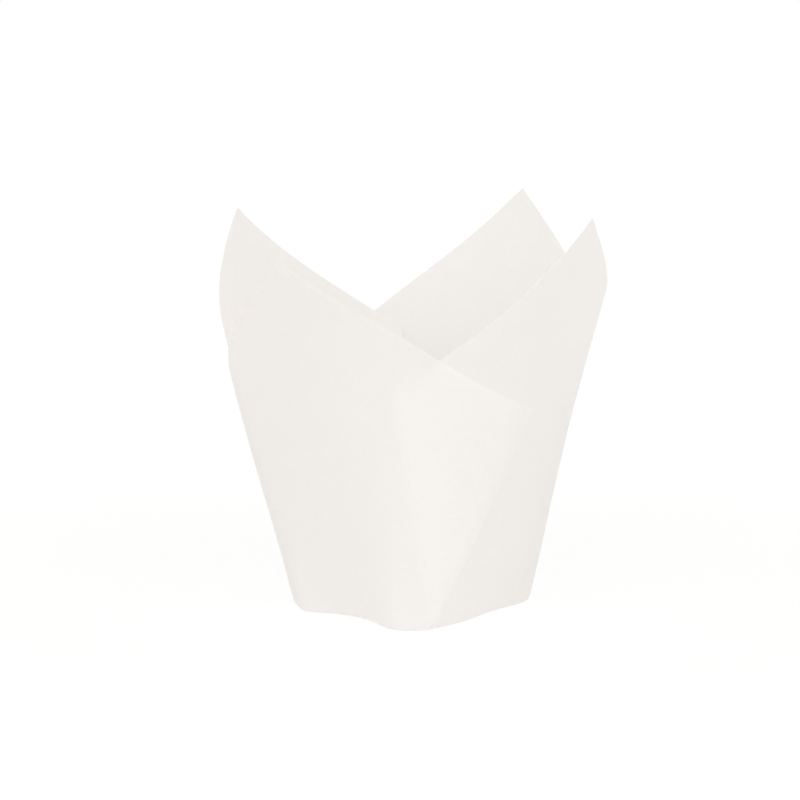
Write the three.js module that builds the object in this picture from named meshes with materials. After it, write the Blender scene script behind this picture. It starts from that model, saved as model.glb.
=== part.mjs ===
// A tulip baking cup: one square sheet of greaseproof paper, pressed over a plug so that it stands up
// as a round wall with four pointed panels. At the middle of each side of the sheet the spare paper
// lies in a Z-tuck of three layers, which starts at a corner of the squarish base.
// Millimetres and degrees, +Z up. The origin is the centre of the base's underside. Azimuths turn
// counterclockwise seen from above, from 0 at the front (-Y) through 90 at the right (+X).
import * as THREE from "three";

// The sheet
const sheetSide = 150;
const paperThickness = 0.1;

// The base. The tucks start at its corners, and the middles of its edges arch a little off the table.
const baseCornerRadius = 25;
const baseEdgeRadius = 20.5;
const baseEdgeLift = 0.6;
const baseFlatInset = 5.5; // from the middle of an edge in to the flat middle of the base
const creaseRadius = 0.8;

// Where the base's outline bulges or is drawn in beside a tuck, and how far round that spreads
const footBulges = [
  { azimuth: 342, size: 3, spread: 12 },
  { azimuth: 286, size: 1.6, spread: 8 },
  { azimuth: 262, size: 0.8, spread: 10 },
  { azimuth: 12, size: -0.8, spread: 10 },
];

// The wall. Its section turns from the base's squarish outline to a round one, and half way up it
// sways a little to one side.
const wallLean = 13.2;
const roundingHeight = 30;
const sway = 0.9;
const swayAzimuth = 268;

// How each panel stands, because the sheet lies a little off centre: the extra outward lean, the
// extra height and sideways swing of its corner, and how far its edges bow out, all in millimetres
const panels = [
  { azimuth: 45, lean: -0.3, rise: 3.1, swing: 0.5, bow: 0 },
  { azimuth: 135, lean: -3.2, rise: 3.7, swing: 0.1, bow: 1.1 },
  { azimuth: 225, lean: 2.6, rise: 1.5, swing: 2.3, bow: 0.2 },
  { azimuth: 315, lean: 6.2, rise: -2.5, swing: 3.6, bow: 0 },
];
const leanFocus = 4; // a higher power keeps a panel's lean nearer to its middle
const bowReach = 55; // the angle from a corner at which its edges no longer bow

// How each tuck lies: the angle by which it is turned towards its outer fold, the angle by which its
// folds lie nearer to each other than in an even cup, and which panel laps over it. Its lap is 1 where
// that is the panel before it, at the smaller azimuths, and -1 where it is the panel after it.
const tucks = [
  { azimuth: 0, turn: 7.4, narrower: 0.6, lap: 1 },
  { azimuth: 90, turn: 7.4, narrower: 0.6, lap: 1 },
  { azimuth: 180, turn: 11.5, narrower: 6.5, lap: 1 },
  { azimuth: 270, turn: 7.4, narrower: 0.6, lap: -1 },
];

// The layers of a tuck: from one to the next at the base and at the sheet's edge, and how far its
// outer flap springs off the wall and pulls the sheet's edge up
const layerStepAtBase = 0.28;
const layerStepAtEdge = 0.5;
const flapSpring = 0.5;
const flapRise = 2.2;

// A tuck starts at its base corner as a soft slope this wide. It and the arch of the base's edges die
// away up the wall, to about a third of their size at the foot height.
const slopeWidth = 1.6;
const footHeight = 2.5;

// How finely the sheet is divided
const panelSteps = 18;
const foldSteps = 3;
const layerSteps = 5;
const creaseSteps = 3;
const lowRows = 8;
const firstRow = 0.6;
const rowGrowth = 1.4;
const upperRows = 11;
const searchSteps = 50;

const rad = THREE.MathUtils.degToRad;
const deg = THREE.MathUtils.radToDeg;
const clamp = THREE.MathUtils.clamp;

// The wall unrolls from a cone. A slant is a distance up the wall from the base's corners, and a
// bearing is an angle about the cone's tip on the unrolled wall.
const coneSine = Math.sin(rad(wallLean));
const slantAtBase = baseCornerRadius / coneSine;
const cornerSlant = sheetSide / Math.SQRT2 - baseEdgeRadius;

// The angle of a tuck is what the base's square corner and its two leaning walls leave over.
const evenTuckAngle = 135 - deg(Math.acos(-coneSine / Math.SQRT2));

const turnBetween = (from, to) => THREE.MathUtils.euclideanModulo(to - from + 180, 360) - 180;
const towardsEdge = (azimuth) => (1 - Math.cos(4 * rad(azimuth))) / 2; // 0 at a base corner, 1 at an edge
const dyingAway = (slant) => Math.exp(-slant / footHeight);

const around = (azimuth, radius, height) =>
  new THREE.Vector3(radius * Math.sin(rad(azimuth)), -radius * Math.cos(rad(azimuth)), height);

// Extra outward lean of the wall at an azimuth, blended from the panels on both sides
function leanAt(azimuth) {
  return panels.reduce((sum, panel) => {
    const nearness = Math.max(Math.cos(rad(turnBetween(panel.azimuth, azimuth))), 0);
    return sum + panel.lean * nearness ** leanFocus;
  }, 0);
}

// The base's outline is a rounded square whose edges are straight at their middles, with its bulges.
function baseRadius(azimuth) {
  const middle = (baseCornerRadius + baseEdgeRadius) / 2;
  const swell = (baseCornerRadius - baseEdgeRadius) / 2;
  const straighten = (16 * swell - baseEdgeRadius) / 64;
  const wave = swell * Math.cos(4 * rad(azimuth)) - straighten * (1 - Math.cos(8 * rad(azimuth)));
  return footBulges.reduce((radius, bulge) => {
    const turn = turnBetween(bulge.azimuth, azimuth) / bulge.spread;
    return radius + bulge.size * Math.exp(-(turn ** 2));
  }, middle + wave);
}

function wallRadius(azimuth, slant) {
  const inset = (baseCornerRadius - baseRadius(azimuth)) * Math.exp(-slant / roundingHeight);
  const share = Math.min(slant / cornerSlant, 1);
  const swayed = sway * Math.cos(rad(azimuth - swayAzimuth)) * Math.sin(Math.PI * share) ** 2;
  return baseCornerRadius - inset + slant * coneSine + leanAt(azimuth) * share ** 2 + swayed;
}

// A point of the wall, offset outwards from the middle layer of paper
function wallPoint(azimuth, slant, offset) {
  const radius = wallRadius(azimuth, slant);
  const out = radius - baseRadius(azimuth);
  const lift = baseEdgeLift * towardsEdge(azimuth) * dyingAway(slant);
  const height = Math.sqrt(Math.max(slant ** 2 - out ** 2, 0)) + lift + paperThickness / 2;
  return around(azimuth, radius + offset, height);
}

// The slant at which a panel meets the sheet's edge. Side is 1 past its corner and -1 before it.
function edgeSlant(panel, azimuth, side) {
  const turn = turnBetween(panel.azimuth, azimuth);
  const bearing = rad(turn) * coneSine;
  const corner = slantAtBase + cornerSlant + panel.rise + side * panel.swing;
  const bow = panel.bow * Math.sin(Math.PI * Math.min(Math.abs(turn) / bowReach, 1));
  return corner / (Math.cos(bearing) + side * Math.sin(bearing)) - slantAtBase + bow;
}

function cornerAzimuth(panel) {
  const corner = slantAtBase + cornerSlant + panel.rise;
  return panel.azimuth + deg(Math.atan2(panel.swing, corner) / coneSine);
}

// How far round from its base corner a fold lies, which runs straight over the unrolled wall
function foldTurn(slant, angle) {
  const fromTip = slantAtBase + slant;
  const across = slantAtBase * Math.sin(rad(angle));
  const length = Math.sqrt(fromTip ** 2 - across ** 2) - slantAtBase * Math.cos(rad(angle));
  return deg(Math.asin((length * Math.sin(rad(angle))) / fromTip) / coneSine);
}

function foldAngles(tuck) {
  const half = (evenTuckAngle - tuck.narrower) / 2;
  return { outer: tuck.turn + half, inner: tuck.turn - half };
}

// The cross-section of a tuck at a slant. The panel that laps over it is its outermost layer, turns
// back at the outer fold, and turns again at the inner fold to go on as the innermost layer. Its places
// are millimetres from the tuck's base corner towards the outer fold. Below the height where the layers
// overlap, the same curve opens into a slope.
function tuckSection(tuck, slant) {
  const angles = foldAngles(tuck);
  const radius = wallRadius(tuck.azimuth, slant);
  const outerFold = radius * rad(foldTurn(slant, angles.outer));
  const innerFold = radius * rad(foldTurn(slant, angles.inner));
  const step = THREE.MathUtils.lerp(layerStepAtBase, layerStepAtEdge, slant / cornerSlant);
  const overlap = outerFold - innerFold;
  const span = step - overlap + slopeWidth * dyingAway(slant);
  const turn = span > 0 ? 2 * Math.atan(step / span) : Math.PI;
  const start = (outerFold + innerFold - span) / 2;
  return { radius, innerFold, overlap, step, bend: step / 2, span, turn, start, end: start + span };
}

const azimuthOf = (tuck, section, place) => tuck.azimuth + tuck.lap * deg(place / section.radius);
const placeOf = (tuck, section, azimuth) =>
  tuck.lap * rad(turnBetween(tuck.azimuth, azimuth)) * section.radius;

// How far across a tuck a place lies, from 0 at the inner fold to 1 at the outer fold
const shareAcross = (section, place) =>
  clamp((place - section.innerFold) / Math.max(section.overlap, section.step), 0, 1);

// How far the flap stands off the wall at a place in a tuck's section
const springAt = (section, place, slant) =>
  flapSpring * (slant / cornerSlant) * shareAcross(section, place) ** 2;

// A line of paper in the panel between two tucks, at a share of the way from its fold in the first to
// its fold in the second. At a tuck that it laps over it is the outermost layer, and else the innermost.
function panelLine(before, after, share) {
  const width = turnBetween(before.azimuth, after.azimuth);
  return (slant) => {
    const first = tuckSection(before, slant);
    const last = tuckSection(after, slant);
    const from = azimuthOf(before, first, before.lap > 0 ? first.end : first.start);
    const ahead = after.lap * deg((after.lap > 0 ? last.start : last.end) / last.radius);
    const to = before.azimuth + width + ahead;
    const azimuth = from + (to - from) * share;
    const length = rad(to - from) * first.radius;
    const climb = THREE.MathUtils.smoothstep(share, first.overlap / length, 1 - last.overlap / length);
    let offset = last.step * THREE.MathUtils.lerp(-before.lap, after.lap, climb);
    if (before.lap < 0) offset += springAt(first, placeOf(before, first, azimuth), slant);
    if (after.lap > 0) offset += springAt(last, placeOf(after, last, azimuth), slant);
    return { azimuth, offset };
  };
}

// A line of paper in a tuck, from its place and offset in the tuck's section
function tuckLine(tuck, spotIn) {
  return (slant) => {
    const section = tuckSection(tuck, slant);
    const { place, offset } = spotIn(section);
    const azimuth = azimuthOf(tuck, section, place);
    return { azimuth, offset: offset + springAt(section, place, slant) };
  };
}

function outerFoldLine(tuck, share) {
  return tuckLine(tuck, ({ step, bend, turn, start }) => ({
    place: start + bend * Math.sin(turn * share),
    offset: step - bend * (1 - Math.cos(turn * share)),
  }));
}

function middleLine(tuck, share) {
  return tuckLine(tuck, ({ step, bend, span, turn, start }) => {
    const length = Math.abs(span) * share;
    return {
      place: start + bend * Math.sin(turn) + length * Math.cos(turn),
      offset: step - bend * (1 - Math.cos(turn)) - length * Math.sin(turn),
    };
  });
}

function innerFoldLine(tuck, share) {
  return tuckLine(tuck, ({ step, bend, turn, end }) => ({
    place: end - bend * Math.sin(turn * (1 - share)),
    offset: bend * (1 - Math.cos(turn * (1 - share))) - step,
  }));
}

// The slant at which a rising line of paper reaches an edge, by halving
function meetingSlant(isBeyond) {
  let low = 0;
  let high = 2 * cornerSlant;
  for (let i = 0; i < searchSteps; i++) {
    const middle = (low + high) / 2;
    if (isBeyond(middle)) high = middle;
    else low = middle;
  }
  return low;
}

// The sheet's edge as met by a line of a panel. A flap's edge is pulled up towards its outer fold.
function panelTop(panel, before, after, line) {
  const corner = cornerAzimuth(panel);
  return meetingSlant((slant) => {
    const { azimuth } = line(slant);
    const side = turnBetween(corner, azimuth) > 0 ? 1 : -1;
    const tuck = side > 0 ? after : before;
    const section = tuckSection(tuck, slant);
    const share = tuck.lap === side ? shareAcross(section, placeOf(tuck, section, azimuth)) : 0;
    return slant > edgeSlant(panel, azimuth, side) + flapRise * share ** 2;
  });
}

// The middle layer's top is straight on the unrolled wall, from the one fold's top to the other's.
function middleTop(tuck, outerTop, innerTop, line) {
  const unrolled = (slant, turn) => {
    const bearing = rad(turn) * coneSine;
    return new THREE.Vector2(Math.sin(bearing), Math.cos(bearing)).multiplyScalar(slantAtBase + slant);
  };
  const angles = foldAngles(tuck);
  const from = unrolled(outerTop, foldTurn(outerTop, angles.outer));
  const along = unrolled(innerTop, foldTurn(innerTop, angles.inner)).sub(from);
  return meetingSlant((slant) => {
    const turn = tuck.lap * turnBetween(tuck.azimuth, line(slant).azimuth);
    return along.cross(unrolled(slant, turn).sub(from)) < 0;
  });
}

// The share of a panel's width at which the sheet's corner lies
function shareOfCorner(panel, before, after) {
  const slant = cornerSlant + panel.rise;
  const from = panelLine(before, after, 0)(slant).azimuth;
  const to = panelLine(before, after, 1)(slant).azimuth;
  return (cornerAzimuth(panel) - from) / (to - from);
}

// Shares from 0 up to 1, with one of them at the corner, and the last left to the fold
function panelShares(corner) {
  const before = Math.round(panelSteps * corner);
  const after = panelSteps - before;
  return Array.from({ length: panelSteps }, (_, i) =>
    i < before ? (corner * i) / before : corner + ((1 - corner) * (i - before)) / after,
  );
}

// The lines of paper through a tuck, from its outer fold to its inner fold
function tuckPath(tuck, outerTop, innerTop) {
  const path = [];
  for (let k = 0; k < foldSteps; k++) {
    path.push({ at: outerFoldLine(tuck, k / foldSteps), top: outerTop });
  }
  const ends = { 0: outerTop, [layerSteps]: innerTop };
  for (let k = 0; k <= layerSteps; k++) {
    const at = middleLine(tuck, k / layerSteps);
    path.push({ at, top: ends[k] ?? middleTop(tuck, outerTop, innerTop, at) });
  }
  for (let k = 1; k <= foldSteps; k++) {
    path.push({ at: innerFoldLine(tuck, k / foldSteps), top: innerTop });
  }
  return path;
}

// All lines of paper round the cup, each with the slant where it ends at the sheet's edge
function sheetLines() {
  const lines = [];
  const stretches = panels.map((panel, i) => {
    const before = tucks[i];
    const after = tucks[(i + 1) % tucks.length];
    const lineAt = (share) => panelLine(before, after, share);
    const topAt = (share) => panelTop(panel, before, after, lineAt(share));
    return { panel, before, after, lineAt, topAt };
  });
  stretches.forEach(({ panel, before, after, lineAt, topAt }, i) => {
    for (const share of panelShares(shareOfCorner(panel, before, after))) {
      lines.push({ at: lineAt(share), top: topAt(share) });
    }
    const tops = [topAt(1), stretches[(i + 1) % stretches.length].topAt(0)];
    const path = tuckPath(after, ...(after.lap > 0 ? tops : tops.reverse()));
    if (after.lap < 0) path.reverse();
    lines.push(...path.slice(0, -1));
  });
  return lines;
}

// The points of one line from the flat of the base over the crease to the sheet's edge
function linePoints(line) {
  const { azimuth } = line.at(0);
  const rise = paperThickness / 2;
  const wallStart = wallPoint(azimuth, 1, 0).sub(wallPoint(azimuth, 0, 0));
  const lean = Math.atan2(Math.hypot(wallStart.x, wallStart.y), wallStart.z);
  const arc = Math.PI / 2 - lean;
  const tangent = creaseRadius * Math.tan(arc / 2);
  const points = [around(azimuth, baseEdgeRadius - baseFlatInset, rise)];
  for (let k = 0; k <= creaseSteps; k++) {
    const turned = (arc * k) / creaseSteps;
    const { azimuth: here, offset } = line.at((tangent * k) / creaseSteps);
    const lift = baseEdgeLift * towardsEdge(here);
    const radius = baseRadius(here) + offset - tangent + creaseRadius * Math.sin(turned);
    points.push(around(here, radius, rise + lift + creaseRadius * (1 - Math.cos(turned))));
  }
  const low = Array.from({ length: lowRows }, (_, k) => tangent + firstRow * rowGrowth ** k);
  const lowest = low[lowRows - 1];
  const upper = Array.from({ length: upperRows }, (_, k) => (k + 1) / upperRows);
  for (const slant of [...low, ...upper.map((share) => lowest + (line.top - lowest) * share)]) {
    const { azimuth: here, offset } = line.at(slant);
    points.push(wallPoint(here, slant, offset));
  }
  return points;
}

// The normals of a closed grid of points, pointing away from the cup's inside
function gridNormals(grid) {
  const columns = grid.length;
  const rows = grid[0].length;
  return grid.map((line, i) => {
    const next = grid[(i + 1) % columns];
    const previous = grid[(i + columns - 1) % columns];
    return line.map((_, j) => {
      const across = new THREE.Vector3().subVectors(next[j], previous[j]);
      const above = line[Math.min(j + 1, rows - 1)];
      const up = new THREE.Vector3().subVectors(above, line[Math.max(j - 1, 0)]);
      return across.cross(up).normalize();
    });
  });
}

// One closed body from the grid: both faces of the paper, the cut edge and the middle of the base
function foldedSheet() {
  const grid = sheetLines().map(linePoints);
  const normals = gridNormals(grid);
  const columns = grid.length;
  const rows = grid[0].length;
  const down = new THREE.Vector3(0, 0, -1);
  const half = paperThickness / 2;
  const positions = [];
  const index = [];
  for (const side of [1, -1]) {
    grid.forEach((line, i) =>
      line.forEach((point, j) => {
        const normal = j === 0 ? down : normals[i][j];
        positions.push(...point.clone().addScaledVector(normal, side * half));
      }),
    );
    positions.push(0, 0, half - side * half);
  }
  const faceSize = columns * rows + 1;
  const outer = (i, j) => (i % columns) * rows + j;
  const inner = (i, j) => faceSize + outer(i, j);
  for (let i = 0; i < columns; i++) {
    const next = (i + 1) % columns;
    for (let j = 0; j < rows - 1; j++) {
      const rising = grid[i][j].distanceTo(grid[next][j + 1]);
      const falling = grid[next][j].distanceTo(grid[i][j + 1]);
      const corners = [[i, j], [i + 1, j], [i + 1, j + 1], [i, j + 1]];
      if (falling < rising) corners.push(corners.shift());
      const [a, b, c, d] = corners;
      index.push(outer(...a), outer(...b), outer(...c), outer(...a), outer(...c), outer(...d));
      index.push(inner(...a), inner(...c), inner(...b), inner(...a), inner(...d), inner(...c));
    }
    const last = rows - 1;
    index.push(outer(i, last), outer(i + 1, last), inner(i + 1, last));
    index.push(outer(i, last), inner(i + 1, last), inner(i, last));
    index.push(faceSize - 1, outer(i + 1, 0), outer(i, 0));
    index.push(2 * faceSize - 1, inner(i, 0), inner(i + 1, 0));
  }
  const geometry = new THREE.BufferGeometry();
  geometry.setAttribute("position", new THREE.Float32BufferAttribute(positions, 3));
  geometry.setIndex(index);
  geometry.computeVertexNormals();
  return geometry;
}

const paper = new THREE.MeshStandardMaterial({
  color: 0xf1ede9,
  roughness: 0.85,
  metalness: 0,
  side: THREE.DoubleSide,
});

const sheet = new THREE.Mesh(foldedSheet(), paper);
sheet.name = "folded_sheet";

const cup = new THREE.Group();
cup.add(sheet);

export default cup;
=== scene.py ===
import math

import bpy
import numpy as np
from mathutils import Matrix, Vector, noise


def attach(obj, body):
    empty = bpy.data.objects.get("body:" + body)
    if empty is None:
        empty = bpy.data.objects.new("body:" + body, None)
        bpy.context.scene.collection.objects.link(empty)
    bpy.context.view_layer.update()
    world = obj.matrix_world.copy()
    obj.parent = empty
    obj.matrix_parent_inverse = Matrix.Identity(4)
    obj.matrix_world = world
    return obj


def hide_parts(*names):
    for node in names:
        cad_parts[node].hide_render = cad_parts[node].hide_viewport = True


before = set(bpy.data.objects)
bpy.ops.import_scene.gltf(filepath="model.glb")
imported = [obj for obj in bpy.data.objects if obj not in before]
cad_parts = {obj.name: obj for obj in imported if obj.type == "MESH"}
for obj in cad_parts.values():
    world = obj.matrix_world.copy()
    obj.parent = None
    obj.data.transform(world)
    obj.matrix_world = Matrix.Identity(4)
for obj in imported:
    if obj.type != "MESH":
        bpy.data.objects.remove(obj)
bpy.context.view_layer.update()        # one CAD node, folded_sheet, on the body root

print("frame loaded")

# The folded sheet. Lengths are in metres and angles in degrees, with the same values as the CAD part.
# An azimuth turns counterclockwise seen from above, from 0 at the front (-Y). A slant is a distance
# up the wall from the base's outline.
cup = {
    "sheetSide": 0.150,
    "paperThickness": 0.0001,
    "baseCornerRadius": 0.025,
    "baseEdgeRadius": 0.0205,
    "baseEdgeLift": 0.0006,
    "baseFlatInset": 0.0055,
    "creaseRadius": 0.0008,
    "wallLean": 13.2,
    "roundingHeight": 0.030,
    "sway": 0.0009,
    "swayAzimuth": 268,
    "leanFocus": 4,
    "bowReach": 55,
    "layerStepAtBase": 0.00028,
    "layerStepAtEdge": 0.0005,
    "flapSpring": 0.0005,
    "flapRise": 0.0022,
    "slopeWidth": 0.0016,
    "footHeight": 0.0025,
    "footBulges": [  # azimuth, size, spread
        (342, 0.0030, 12),
        (286, 0.0016, 8),
        (262, 0.0008, 10),
        (12, -0.0008, 10),
    ],
    "panels": [
        {"azimuth": 45, "lean": -0.0003, "rise": 0.0031, "swing": 0.0005, "bow": 0.0},
        {"azimuth": 135, "lean": -0.0032, "rise": 0.0037, "swing": 0.0001, "bow": 0.0011},
        {"azimuth": 225, "lean": 0.0026, "rise": 0.0015, "swing": 0.0023, "bow": 0.0002},
        {"azimuth": 315, "lean": 0.0062, "rise": -0.0025, "swing": 0.0036, "bow": 0.0},
    ],
    # A tuck's lap is 1 where the panel before it laps over it, and -1 where the panel after it does.
    "tucks": [
        {"azimuth": 0, "turn": 7.4, "narrower": 0.6, "lap": 1},
        {"azimuth": 90, "turn": 7.4, "narrower": 0.6, "lap": 1},
        {"azimuth": 180, "turn": 11.5, "narrower": 6.5, "lap": 1},
        {"azimuth": 270, "turn": 7.4, "narrower": 0.6, "lap": -1},
    ],
    # How finely the mesh is divided
    "panelSteps": 52,
    "foldSteps": 6,
    "layerSteps": 16,
    "creaseSteps": 4,
    "baseRings": 5,
    "lowRows": 14,
    "lowRowScale": 0.0012,
    "rowGrowth": 1.22,
    "upperRows": 62,
    "halvings": 40,  # of the range in which the sheet's edge is sought on a line
    "footSample": 0.001,  # the slant over which the lean of the wall's foot is measured
    # Soft waves of the paper: depth and wavelength of the broad and the fine ones, the height at
    # which they are full, and how their wavelengths upwards are stretched
    "broadWave": (0.00022, 0.021),
    "fineWave": (0.00005, 0.0065),
    "waveFullHeight": 0.030,
    "waveStretch": (1.0, 1.0, 0.55),
}

coneSine = math.sin(math.radians(cup["wallLean"]))
slantAtBase = cup["baseCornerRadius"] / coneSine
cornerSlant = cup["sheetSide"] / math.sqrt(2) - cup["baseEdgeRadius"]
evenTuckAngle = 135 - math.degrees(math.acos(-coneSine / math.sqrt(2)))


def turnBetween(start, end):
    return (end - start + 180) % 360 - 180


def towardsEdge(azimuth):
    return (1 - np.cos(4 * np.radians(azimuth))) / 2  # 0 at a base corner, 1 at an edge


def dyingAway(slant):
    return np.exp(-slant / cup["footHeight"])


def smoothstep(value, low, high):
    share = np.clip((value - low) / (high - low), 0, 1)
    return share * share * (3 - 2 * share)


def leanAt(azimuth):
    total = 0.0
    for panel in cup["panels"]:
        nearness = np.maximum(np.cos(np.radians(turnBetween(panel["azimuth"], azimuth))), 0)
        total = total + panel["lean"] * nearness ** cup["leanFocus"]
    return total


def baseRadius(azimuth):
    corner, edge = cup["baseCornerRadius"], cup["baseEdgeRadius"]
    swell = (corner - edge) / 2
    straighten = (16 * swell - edge) / 64  # leaves no curvature at the middles of the edges
    angle = np.radians(azimuth)
    radius = (corner + edge) / 2 + swell * np.cos(4 * angle) - straighten * (1 - np.cos(8 * angle))
    for at, size, spread in cup["footBulges"]:
        radius = radius + size * np.exp(-((turnBetween(at, azimuth) / spread) ** 2))
    return radius


def wallRadius(azimuth, slant):
    corner = cup["baseCornerRadius"]
    inset = (corner - baseRadius(azimuth)) * np.exp(-slant / cup["roundingHeight"])
    share = np.minimum(slant / cornerSlant, 1)
    swayed = cup["sway"] * np.cos(np.radians(azimuth - cup["swayAzimuth"])) * np.sin(np.pi * share) ** 2
    return corner - inset + slant * coneSine + leanAt(azimuth) * share**2 + swayed


def around(azimuth, radius, height):
    angle = np.radians(azimuth)
    parts = np.broadcast_arrays(radius * np.sin(angle), -radius * np.cos(angle), height)
    return np.stack(parts, axis=-1)


def wallPoint(azimuth, slant, offset):
    radius = wallRadius(azimuth, slant)
    out = radius - baseRadius(azimuth)
    lift = cup["baseEdgeLift"] * towardsEdge(azimuth) * dyingAway(slant)
    height = np.sqrt(np.maximum(slant**2 - out**2, 0)) + lift + cup["paperThickness"] / 2
    return around(azimuth, radius + offset, height)


def edgeSlant(panel, azimuth, side):
    turn = turnBetween(panel["azimuth"], azimuth)
    bearing = np.radians(turn) * coneSine
    corner = slantAtBase + cornerSlant + panel["rise"] + side * panel["swing"]
    bow = panel["bow"] * np.sin(np.pi * np.minimum(np.abs(turn) / cup["bowReach"], 1))
    return corner / (np.cos(bearing) + side * np.sin(bearing)) - slantAtBase + bow


def cornerAzimuth(panel):
    corner = slantAtBase + cornerSlant + panel["rise"]
    return panel["azimuth"] + math.degrees(math.atan2(panel["swing"], corner) / coneSine)


# How far round from its base corner a fold lies, which runs straight over the unrolled wall
def foldTurn(slant, angle):
    aside = math.sin(math.radians(angle))
    ahead = math.cos(math.radians(angle))
    fromTip = slantAtBase + slant
    length = np.sqrt(fromTip**2 - (slantAtBase * aside) ** 2) - slantAtBase * ahead
    return np.degrees(np.arcsin(length * aside / fromTip) / coneSine)


def foldAngles(tuck):
    half = (evenTuckAngle - tuck["narrower"]) / 2
    return tuck["turn"] + half, tuck["turn"] - half


# A tuck cut across at a slant: its outermost layer turns back at the outer fold, and the middle layer
# turns again at the inner fold, to go on as the innermost one. Its places are metres from the tuck's
# base corner towards the outer fold.
def tuckSection(tuck, slant):
    outerAngle, innerAngle = foldAngles(tuck)
    radius = wallRadius(tuck["azimuth"], slant)
    outer = radius * np.radians(foldTurn(slant, outerAngle))
    inner = radius * np.radians(foldTurn(slant, innerAngle))
    atBase, atEdge = cup["layerStepAtBase"], cup["layerStepAtEdge"]
    step = atBase + (atEdge - atBase) * slant / cornerSlant
    overlap = outer - inner
    span = step - overlap + cup["slopeWidth"] * dyingAway(slant)
    turn = np.where(span > 0, 2 * np.arctan2(step, np.maximum(span, 0)), np.pi)
    start = (outer + inner - span) / 2
    return {
        "radius": radius, "inner": inner, "overlap": overlap, "step": step, "bend": step / 2,
        "span": span, "turn": turn, "start": start, "end": start + span,
    }


def azimuthOf(tuck, section, place):
    return tuck["azimuth"] + tuck["lap"] * np.degrees(place / section["radius"])


def placeOf(tuck, section, azimuth):
    return tuck["lap"] * np.radians(turnBetween(tuck["azimuth"], azimuth)) * section["radius"]


def shareAcross(section, place):
    return np.clip((place - section["inner"]) / np.maximum(section["overlap"], section["step"]), 0, 1)


def springAt(section, place, slant):
    return cup["flapSpring"] * slant / cornerSlant * shareAcross(section, place) ** 2


def panelLine(before, after, share, slant):
    width = turnBetween(before["azimuth"], after["azimuth"])
    first = tuckSection(before, slant)
    last = tuckSection(after, slant)
    start = azimuthOf(before, first, first["end"] if before["lap"] > 0 else first["start"])
    ahead = last["start"] if after["lap"] > 0 else last["end"]
    end = before["azimuth"] + width + after["lap"] * np.degrees(ahead / last["radius"])
    azimuth = start + (end - start) * share
    length = np.radians(end - start) * first["radius"]
    climb = smoothstep(share, first["overlap"] / length, 1 - last["overlap"] / length)
    offset = last["step"] * (after["lap"] * climb - before["lap"] * (1 - climb))
    if before["lap"] < 0:
        offset = offset + springAt(first, placeOf(before, first, azimuth), slant)
    if after["lap"] > 0:
        offset = offset + springAt(last, placeOf(after, last, azimuth), slant)
    return azimuth, offset


def tuckSpot(tuck, slant, section, place, offset):
    return azimuthOf(tuck, section, place), offset + springAt(section, place, slant)


def outerFoldLine(tuck, share, slant):
    section = tuckSection(tuck, slant)
    angle = section["turn"] * share
    place = section["start"] + section["bend"] * np.sin(angle)
    drop = section["bend"] * (1 - np.cos(angle))
    return tuckSpot(tuck, slant, section, place, section["step"] - drop)


def middleLine(tuck, share, slant):
    section = tuckSection(tuck, slant)
    bend, turn = section["bend"], section["turn"]
    length = np.abs(section["span"]) * share
    place = section["start"] + bend * np.sin(turn) + length * np.cos(turn)
    drop = bend * (1 - np.cos(turn)) + length * np.sin(turn)
    return tuckSpot(tuck, slant, section, place, section["step"] - drop)


def innerFoldLine(tuck, share, slant):
    section = tuckSection(tuck, slant)
    angle = section["turn"] * (1 - share)
    place = section["end"] - section["bend"] * np.sin(angle)
    climb = section["bend"] * (1 - np.cos(angle))
    return tuckSpot(tuck, slant, section, place, climb - section["step"])


# The slant at which each of a number of lines meets the sheet's edge
def meetingSlant(count, isBeyond):
    low = np.zeros(count)
    high = np.full(count, 2 * cornerSlant)
    for _ in range(cup["halvings"]):
        middle = (low + high) / 2
        beyond = isBeyond(middle)
        high = np.where(beyond, middle, high)
        low = np.where(beyond, low, middle)
    return low


def panelTop(panel, before, after, share):
    corner = cornerAzimuth(panel)

    def isBeyond(slant):
        azimuth, _ = panelLine(before, after, share, slant)
        side = np.where(turnBetween(corner, azimuth) > 0, 1, -1)
        edge = edgeSlant(panel, azimuth, side)
        for tuck, tuckSide in ((before, -1), (after, 1)):
            if tuck["lap"] == tuckSide:
                section = tuckSection(tuck, slant)
                across = shareAcross(section, placeOf(tuck, section, azimuth))
                edge = edge + np.where(side == tuckSide, cup["flapRise"] * across**2, 0)
        return slant > edge

    return meetingSlant(len(share), isBeyond)


def middleTop(tuck, outerTop, innerTop, share):
    outerAngle, innerAngle = foldAngles(tuck)

    def unrolled(slant, turn):
        bearing = np.radians(turn) * coneSine
        return np.sin(bearing) * (slantAtBase + slant), np.cos(bearing) * (slantAtBase + slant)

    x0, y0 = unrolled(outerTop, foldTurn(outerTop, outerAngle))
    x1, y1 = unrolled(innerTop, foldTurn(innerTop, innerAngle))

    def isBeyond(slant):
        azimuth = middleLine(tuck, share, slant)[0]
        x, y = unrolled(slant, tuck["lap"] * turnBetween(tuck["azimuth"], azimuth))
        return (x1 - x0) * (y - y0) - (y1 - y0) * (x - x0) < 0

    return meetingSlant(len(share), isBeyond)


# Shares of a panel's width from 0 up to 1, with one of them at the sheet's corner
def panelShares(panel, before, after):
    slant = cornerSlant + panel["rise"]
    start = panelLine(before, after, 0.0, slant)[0]
    end = panelLine(before, after, 1.0, slant)[0]
    corner = (cornerAzimuth(panel) - start) / (end - start)
    count = round(cup["panelSteps"] * corner)
    low = np.linspace(0, corner, count, endpoint=False)
    high = np.linspace(corner, 1, cup["panelSteps"] - count, endpoint=False)
    return np.concatenate([low, high])


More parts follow.
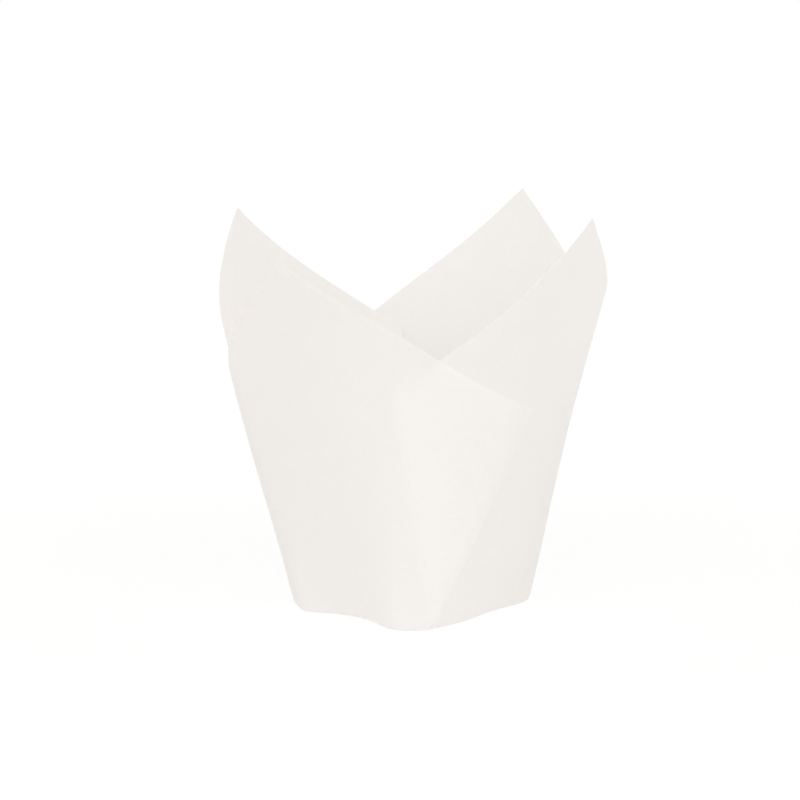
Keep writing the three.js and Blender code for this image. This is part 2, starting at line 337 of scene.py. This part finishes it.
# The rows of points on a block of lines, from the flat of the base over the crease to the sheet's edge
def blockPoints(lineAt, tops):
    azimuth, _ = lineAt(np.zeros_like(tops))
    thickness, crease = cup["paperThickness"], cup["creaseRadius"]
    foot = wallPoint(azimuth, cup["footSample"], 0.0) - wallPoint(azimuth, 0.0, 0.0)
    lean = np.arctan2(np.hypot(foot[:, 0], foot[:, 1]), foot[:, 2])
    arc = math.pi / 2 - lean
    tangent = crease * np.tan(arc / 2)
    rows, slants = [], []
    flat = cup["baseEdgeRadius"] - cup["baseFlatInset"]
    for ring in range(1, cup["baseRings"] + 1):
        rows.append(around(azimuth, flat * ring / cup["baseRings"], thickness / 2))
    for k in range(cup["creaseSteps"] + 1):
        share = k / cup["creaseSteps"]
        here, offset = lineAt(tangent * share)
        lift = cup["baseEdgeLift"] * towardsEdge(here)
        radius = baseRadius(here) + offset - tangent + crease * np.sin(arc * share)
        rise = crease * (1 - np.cos(arc * share))
        rows.append(around(here, radius, thickness / 2 + lift + rise))
    for k in range(1, cup["lowRows"] + 1):
        slants.append(tangent + cup["lowRowScale"] * (cup["rowGrowth"] ** k - 1))
    lowest = slants[-1]
    for k in range(1, cup["upperRows"] + 1):
        slants.append(lowest + (tops - lowest) * k / cup["upperRows"])
    for slant in slants:
        here, offset = lineAt(slant)
        rows.append(wallPoint(here, slant, offset))
    return np.stack(rows, axis=1)


# The columns of a tuck, from its outer fold to its inner fold, both ends included
def tuckPoints(tuck, outerTop, innerTop):
    blocks = []
    share = np.arange(cup["foldSteps"]) / cup["foldSteps"]
    tops = np.full(len(share), outerTop)
    blocks.append(blockPoints(lambda slant: outerFoldLine(tuck, share, slant), tops))
    across = np.linspace(0, 1, cup["layerSteps"] + 1)
    tops = middleTop(tuck, outerTop, innerTop, across)
    tops[0], tops[-1] = outerTop, innerTop
    blocks.append(blockPoints(lambda slant: middleLine(tuck, across, slant), tops))
    past = share + 1 / cup["foldSteps"]
    tops = np.full(len(past), innerTop)
    blocks.append(blockPoints(lambda slant: innerFoldLine(tuck, past, slant), tops))
    return np.concatenate(blocks)


# All columns of the sheet in order round the cup: each panel and then the tuck that follows it
def sheetGrid():
    panels, tucks = cup["panels"], cup["tucks"]
    count = len(panels)
    blocks = []
    for i, panel in enumerate(panels):
        before, after, afterNext = (tucks[(i + k) % count] for k in range(3))
        share = panelShares(panel, before, after)
        tops = panelTop(panel, before, after, share)
        blocks.append(blockPoints(lambda s, b=before, a=after, u=share: panelLine(b, a, u, s), tops))
        lastTop = panelTop(panel, before, after, np.array([1.0]))[0]
        nextTop = panelTop(panels[(i + 1) % count], after, afterNext, np.array([0.0]))[0]
        if after["lap"] > 0:
            blocks.append(tuckPoints(after, lastTop, nextTop)[:-1])
        else:
            blocks.append(tuckPoints(after, nextTop, lastTop)[:0:-1])
    return np.concatenate(blocks)


def gridNormals(grid):
    across = np.roll(grid, -1, axis=0) - np.roll(grid, 1, axis=0)
    up = np.empty_like(grid)
    up[:, 1:-1] = grid[:, 2:] - grid[:, :-2]
    up[:, 0] = grid[:, 1] - grid[:, 0]
    up[:, -1] = grid[:, -1] - grid[:, -2]
    normals = np.cross(across, up)
    return normals / np.linalg.norm(normals, axis=-1, keepdims=True)


# The paper isn't quite even: broad and fine waves, the same for all layers that lie on each other,
# which die away towards the base
def addWaves(grid):
    outwards = grid * np.array([1.0, 1.0, 0.0])
    outwards = outwards / np.linalg.norm(outwards, axis=-1, keepdims=True)
    fade = smoothstep(grid[..., 2], 0, cup["waveFullHeight"])
    for depth, wavelength in (cup["broadWave"], cup["fineWave"]):
        spots = grid.reshape(-1, 3) / wavelength * np.array(cup["waveStretch"])
        wave = np.array([noise.noise(Vector(spot)) for spot in spots]).reshape(grid.shape[:2])
        grid = grid + outwards * (depth * wave * fade)[..., None]
    return grid


def makeSheet():
    grid = addWaves(sheetGrid())
    normals = gridNormals(grid)
    normals[:, :cup["baseRings"]] = (0.0, 0.0, -1.0)
    columns, rows = grid.shape[:2]
    half = cup["paperThickness"] / 2
    outer = (grid + normals * half).reshape(-1, 3)
    inner = (grid - normals * half).reshape(-1, 3)
    centres = np.array([[0.0, 0.0, 0.0], [0.0, 0.0, 2 * half]])
    points = np.concatenate([outer, inner, centres])
    size = columns * rows
    under, over = 2 * size, 2 * size + 1
    column = np.arange(columns)
    following = (column + 1) % columns
    faces = []
    for row in range(rows - 1):
        a, b = column * rows + row, following * rows + row
        faces += np.stack([a, b, b + 1, a + 1], axis=1).tolist()
        faces += np.stack([a + 1 + size, b + 1 + size, b + size, a + size], axis=1).tolist()
    a, b = column * rows + rows - 1, following * rows + rows - 1
    faces += np.stack([a, b, b + size, a + size], axis=1).tolist()
    for i, j in zip((column * rows).tolist(), (following * rows).tolist()):
        faces.append([under, j, i])
        faces.append([over, i + size, j + size])
    mesh = bpy.data.meshes.new("tulipWrap")
    mesh.from_pydata(points.tolist(), [], faces)
    mesh.update()
    mesh.polygons.foreach_set("use_smooth", [True] * len(mesh.polygons))
    # The cut edge stays crisp, so that it doesn't bend the shading of the paper beside it.
    ends = np.empty(2 * len(mesh.edges), dtype=np.int32)
    mesh.edges.foreach_get("vertices", ends)
    isCut = (ends.reshape(-1, 2) % rows == rows - 1) & (ends.reshape(-1, 2) < under)
    mesh.edges.foreach_set("use_edge_sharp", isCut.all(axis=1))
    wrap = bpy.data.objects.new("tulipWrap", mesh)
    bpy.context.collection.objects.link(wrap)
    return wrap


# Greaseproof paper: off-white, a little see-through, with a cloudy fibre and a faint calendered sheen
paperLook = {
    "colour": (0.9935, 0.9925, 0.991, 1),
    "cloudColour": (0.957, 0.954, 0.950, 1),
    "throughColour": (0.991, 0.9895, 0.9875, 1),
    "translucency": 0.65,
    "unevenness": 0.14,
    "specular": 0.12,
    "glossiest": 0.62,  # the least and the most roughness
    "dullest": 0.82,
    # The noises: waves per metre, octaves and how strong each octave is beside the one before
    "clouds": {"Scale": 1350.0, "Detail": 4.0, "Roughness": 0.6},
    "fibres": {"Scale": 2200.0, "Detail": 3.0, "Roughness": 0.7},
    "cockles": {"Scale": 160.0, "Detail": 1.0},
    "cloudFrom": 0.41,  # the noise at which the colour is the cloud's, and at which it is the paper's
    "cloudTo": 0.57,
    "clearFrom": 0.3,  # the noise at which the paper is least see-through, and at which it is most
    "clearTo": 0.7,
    "fibreDepth": 0.00002,
    "cockleDepth": 0.00008,
}


# A shader node at a place in its tree, with the values of its inputs by their names
def addNode(tree, kind, x, y, **inputs):
    node = tree.nodes.new(kind)
    node.location = (x, y)
    for name, value in inputs.items():
        node.inputs[name.replace("_", " ")].default_value = value
    return node


def emptyTree(owner):
    owner.use_nodes = True
    owner.node_tree.nodes.clear()
    return owner.node_tree


def mathNode(tree, operation, x, y, first, second=None):
    node = addNode(tree, "ShaderNodeMath", x, y)
    node.operation = operation
    tree.links.new(first, node.inputs[0])
    if second is not None:
        tree.links.new(second, node.inputs[1])
    return node


def mixNode(tree, x, y, share, first, second):
    node = addNode(tree, "ShaderNodeMixShader", x, y)
    tree.links.new(share, node.inputs["Fac"])
    tree.links.new(first, node.inputs[1])
    tree.links.new(second, node.inputs[2])
    return node


def makePaper():
    look = paperLook
    material = bpy.data.materials.new("greaseproofPaper")
    tree = emptyTree(material)
    link = tree.links.new
    place = addNode(tree, "ShaderNodeTexCoord", -1300, 0)
    cloud = addNode(tree, "ShaderNodeTexNoise", -1000, 300, **look["clouds"])
    fibre = addNode(tree, "ShaderNodeTexNoise", -1000, 0, **look["fibres"])
    cockle = addNode(tree, "ShaderNodeTexNoise", -1000, -300, **look["cockles"])
    for texture in (cloud, fibre, cockle):
        link(place.outputs["Object"], texture.inputs["Vector"])
    ramp = addNode(tree, "ShaderNodeValToRGB", -760, 300)
    clouded, plain = ramp.color_ramp.elements
    clouded.position, clouded.color = look["cloudFrom"], look["cloudColour"]
    plain.position, plain.color = look["cloudTo"], look["colour"]
    link(cloud.outputs["Fac"], ramp.inputs["Fac"])
    gloss = addNode(
        tree, "ShaderNodeMapRange", -760, 0, To_Min=look["glossiest"], To_Max=look["dullest"]
    )
    link(fibre.outputs["Fac"], gloss.inputs["Value"])
    broad = addNode(tree, "ShaderNodeBump", -500, -300, Strength=1.0, Distance=look["cockleDepth"])
    link(cockle.outputs["Fac"], broad.inputs["Height"])
    fine = addNode(tree, "ShaderNodeBump", -300, -200, Strength=1.0, Distance=look["fibreDepth"])
    link(fibre.outputs["Fac"], fine.inputs["Height"])
    link(broad.outputs["Normal"], fine.inputs["Normal"])
    surface = addNode(
        tree, "ShaderNodeBsdfPrincipled", 0, 200, Specular_IOR_Level=look["specular"]
    )
    link(ramp.outputs["Color"], surface.inputs["Base Color"])
    link(gloss.outputs["Result"], surface.inputs["Roughness"])
    link(fine.outputs["Normal"], surface.inputs["Normal"])
    through = addNode(tree, "ShaderNodeBsdfTranslucent", 0, -300, Color=look["throughColour"])
    link(fine.outputs["Normal"], through.inputs["Normal"])
    clear = addNode(
        tree, "ShaderNodeMapRange", -400, 500,
        From_Min=look["clearFrom"], From_Max=look["clearTo"],
        To_Min=look["translucency"] - look["unevenness"],
        To_Max=look["translucency"] + look["unevenness"],
    )
    link(cloud.outputs["Fac"], clear.inputs["Value"])
    mix = mixNode(
        tree, 300, 0, clear.outputs["Result"], surface.outputs["BSDF"], through.outputs["BSDF"]
    )
    output = addNode(tree, "ShaderNodeOutputMaterial", 520, 0)
    link(mix.outputs["Shader"], output.inputs["Surface"])
    return material


wrap = makeSheet()
wrap.data.materials.append(makePaper())
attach(wrap, "root")
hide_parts("folded_sheet")
print("sheet folded:", len(wrap.data.polygons), "faces")

# The stage: a pale floor that looks white to the camera and keeps a faint shadow round the cup, a sky
# of plain levels, and the colour of the lamps
stageLook = {
    "floorSize": 6.0,
    "floorGap": 0.0003,  # keeps the floor clear of the paper's underside
    "floorColour": (0.96, 0.96, 0.96, 1),
    "floorWhite": 1.03,
    "whiteShareNear": 0.85,  # up to nearReach from the cup's middle, from where it grows to 1
    "nearReach": 0.08,
    "farReach": 0.30,
    "brightSide": (-0.08, -0.62, -0.78),
    "brightLight": 1.175,
    "dimLight": 0.625,
    "skyMiddleColour": (0.99, 1.01, 0.99, 1),
    "skySideColour": (1.01, 0.92, 0.87, 1),
    "lampColour": (1.0, 0.975, 0.95),
}


# 1 for what the camera sees, also in mirrors and through glass, and 0 for light that paper scatters
def seenDirectly(tree, x, y):
    path = addNode(tree, "ShaderNodeLightPath", x, y).outputs
    seen = path["Is Camera Ray"]
    for name in ("Is Glossy Ray", "Is Transmission Ray"):
        seen = mathNode(tree, "MAXIMUM", x + 200, y, seen, path[name]).outputs["Value"]
    direct = mathNode(tree, "SUBTRACT", x + 400, y, seen, path["Is Diffuse Ray"])
    direct.use_clamp = True
    return direct.outputs["Value"]


def makeFloor():
    mesh = bpy.data.meshes.new("floor")
    reach, low = stageLook["floorSize"] / 2, -stageLook["floorGap"]
    corners = [(-reach, -reach, low), (reach, -reach, low), (reach, reach, low), (-reach, reach, low)]
    mesh.from_pydata(corners, [], [(0, 1, 2, 3)])
    floor = bpy.data.objects.new("floor", mesh)
    bpy.context.collection.objects.link(floor)
    material = bpy.data.materials.new("paleFloor")
    tree = emptyTree(material)
    matte = addNode(tree, "ShaderNodeBsdfDiffuse", -200, 100, Color=stageLook["floorColour"])
    white = addNode(tree, "ShaderNodeEmission", -200, -100, Strength=stageLook["floorWhite"])
    place = addNode(tree, "ShaderNodeTexCoord", -1000, 600)
    distance = addNode(tree, "ShaderNodeVectorMath", -800, 600)
    distance.operation = "LENGTH"
    tree.links.new(place.outputs["Object"], distance.inputs[0])
    whiteness = addNode(
        tree, "ShaderNodeMapRange", -600, 600,
        From_Min=stageLook["nearReach"], From_Max=stageLook["farReach"],
        To_Min=stageLook["whiteShareNear"],
    )
    tree.links.new(distance.outputs["Value"], whiteness.inputs["Value"])
    direct = seenDirectly(tree, -1000, 300)
    share = mathNode(tree, "MULTIPLY", -200, 300, direct, whiteness.outputs["Result"])
    mix = mixNode(
        tree, 0, 0, share.outputs["Value"], matte.outputs["BSDF"], white.outputs["Emission"]
    )
    output = addNode(tree, "ShaderNodeOutputMaterial", 200, 0)
    tree.links.new(mix.outputs["Shader"], output.inputs["Surface"])
    mesh.materials.append(material)


# The sky is brightest low at the front, darker behind the cup and overhead, and pinker at both sides.
def makeWorld():
    world = bpy.data.worlds.new("studio")
    bpy.context.scene.world = world
    tree = emptyTree(world)
    link = tree.links.new
    place = addNode(tree, "ShaderNodeTexCoord", -800, -200)
    nearness = addNode(tree, "ShaderNodeVectorMath", -600, -200)
    nearness.operation = "DOT_PRODUCT"
    nearness.inputs[1].default_value = stageLook["brightSide"]
    link(place.outputs["Generated"], nearness.inputs[0])
    level = addNode(
        tree, "ShaderNodeMapRange", -400, -200,
        From_Min=-1.0, To_Min=stageLook["dimLight"], To_Max=stageLook["brightLight"],
    )
    link(nearness.outputs["Value"], level.inputs["Value"])
    apart = addNode(tree, "ShaderNodeSeparateXYZ", -600, 400)
    link(place.outputs["Generated"], apart.inputs["Vector"])
    sideways = mathNode(tree, "ABSOLUTE", -400, 400, apart.outputs["X"])
    colour = addNode(tree, "ShaderNodeValToRGB", -200, 400)
    colour.color_ramp.elements[0].color = stageLook["skyMiddleColour"]
    colour.color_ramp.elements[1].color = stageLook["skySideColour"]
    link(sideways.outputs["Value"], colour.inputs["Fac"])
    light = addNode(tree, "ShaderNodeBackground", 0, 100)
    link(colour.outputs["Color"], light.inputs["Color"])
    link(level.outputs["Result"], light.inputs["Strength"])
    white = addNode(tree, "ShaderNodeBackground", 0, -100, Color=(1, 1, 1, 1), Strength=1.0)
    mix = mixNode(
        tree, 200, 0, seenDirectly(tree, -600, 200),
        light.outputs["Background"], white.outputs["Background"],
    )
    output = addNode(tree, "ShaderNodeOutputWorld", 400, 0)
    link(mix.outputs["Shader"], output.inputs["Surface"])


# Soft boxes: where each stands, what it looks at, its size in metres and its power in watts
lamps = {
    "leftBox": {"at": (-1.005, -0.825, 0.524), "towards": (0, 0, 0.045), "size": 0.95, "power": 3.3},
    "rightBox": {"at": (0.716, -1.085, 0.524), "towards": (0, 0, 0.045), "size": 0.95, "power": 3.3},
}


def makeLamps():
    for name, spec in lamps.items():
        data = bpy.data.lights.new(name, "AREA")
        data.shape = "DISK"
        data.size = spec["size"]
        data.energy = spec["power"]
        data.color = stageLook["lampColour"]
        lamp = bpy.data.objects.new(name, data)
        lamp.location = spec["at"]
        direction = Vector(spec["towards"]) - lamp.location
        lamp.rotation_euler = direction.to_track_quat("-Z", "Y").to_euler()
        bpy.context.collection.objects.link(lamp)


# The camera stands where the photograph was taken from: its heading turns from +Y towards +X
view = {
    "at": (-0.0781, -0.5141, 0.130),
    "heading": 8.32,
    "pitch": 9.39,
    "lens": 111.0,  # millimetres, as is the sensor's width
    "sensorWidth": 36.0,
    "nearest": 0.01,
    "farthest": 20.0,
}


def makeCamera():
    data = bpy.data.cameras.new("camera")
    data.lens = view["lens"]
    data.sensor_width = view["sensorWidth"]
    data.clip_start = view["nearest"]
    data.clip_end = view["farthest"]
    camera = bpy.data.objects.new("camera", data)
    camera.location = view["at"]
    camera.rotation_euler = (math.radians(90 - view["pitch"]), 0, -math.radians(view["heading"]))
    bpy.context.collection.objects.link(camera)
    bpy.context.scene.camera = camera


# Light crosses six paper faces at a tuck, which needs more bounces than Cycles takes by itself.
bounces = {"all": 48, "throughPaper": 32}

makeFloor()
makeWorld()
makeLamps()
makeCamera()
bpy.context.scene.view_settings.view_transform = "Standard"
cycles = bpy.context.scene.cycles
cycles.max_bounces = bounces["all"]
cycles.diffuse_bounces = bounces["throughPaper"]
cycles.transmission_bounces = bounces["throughPaper"]
print("stage, light and camera ready")
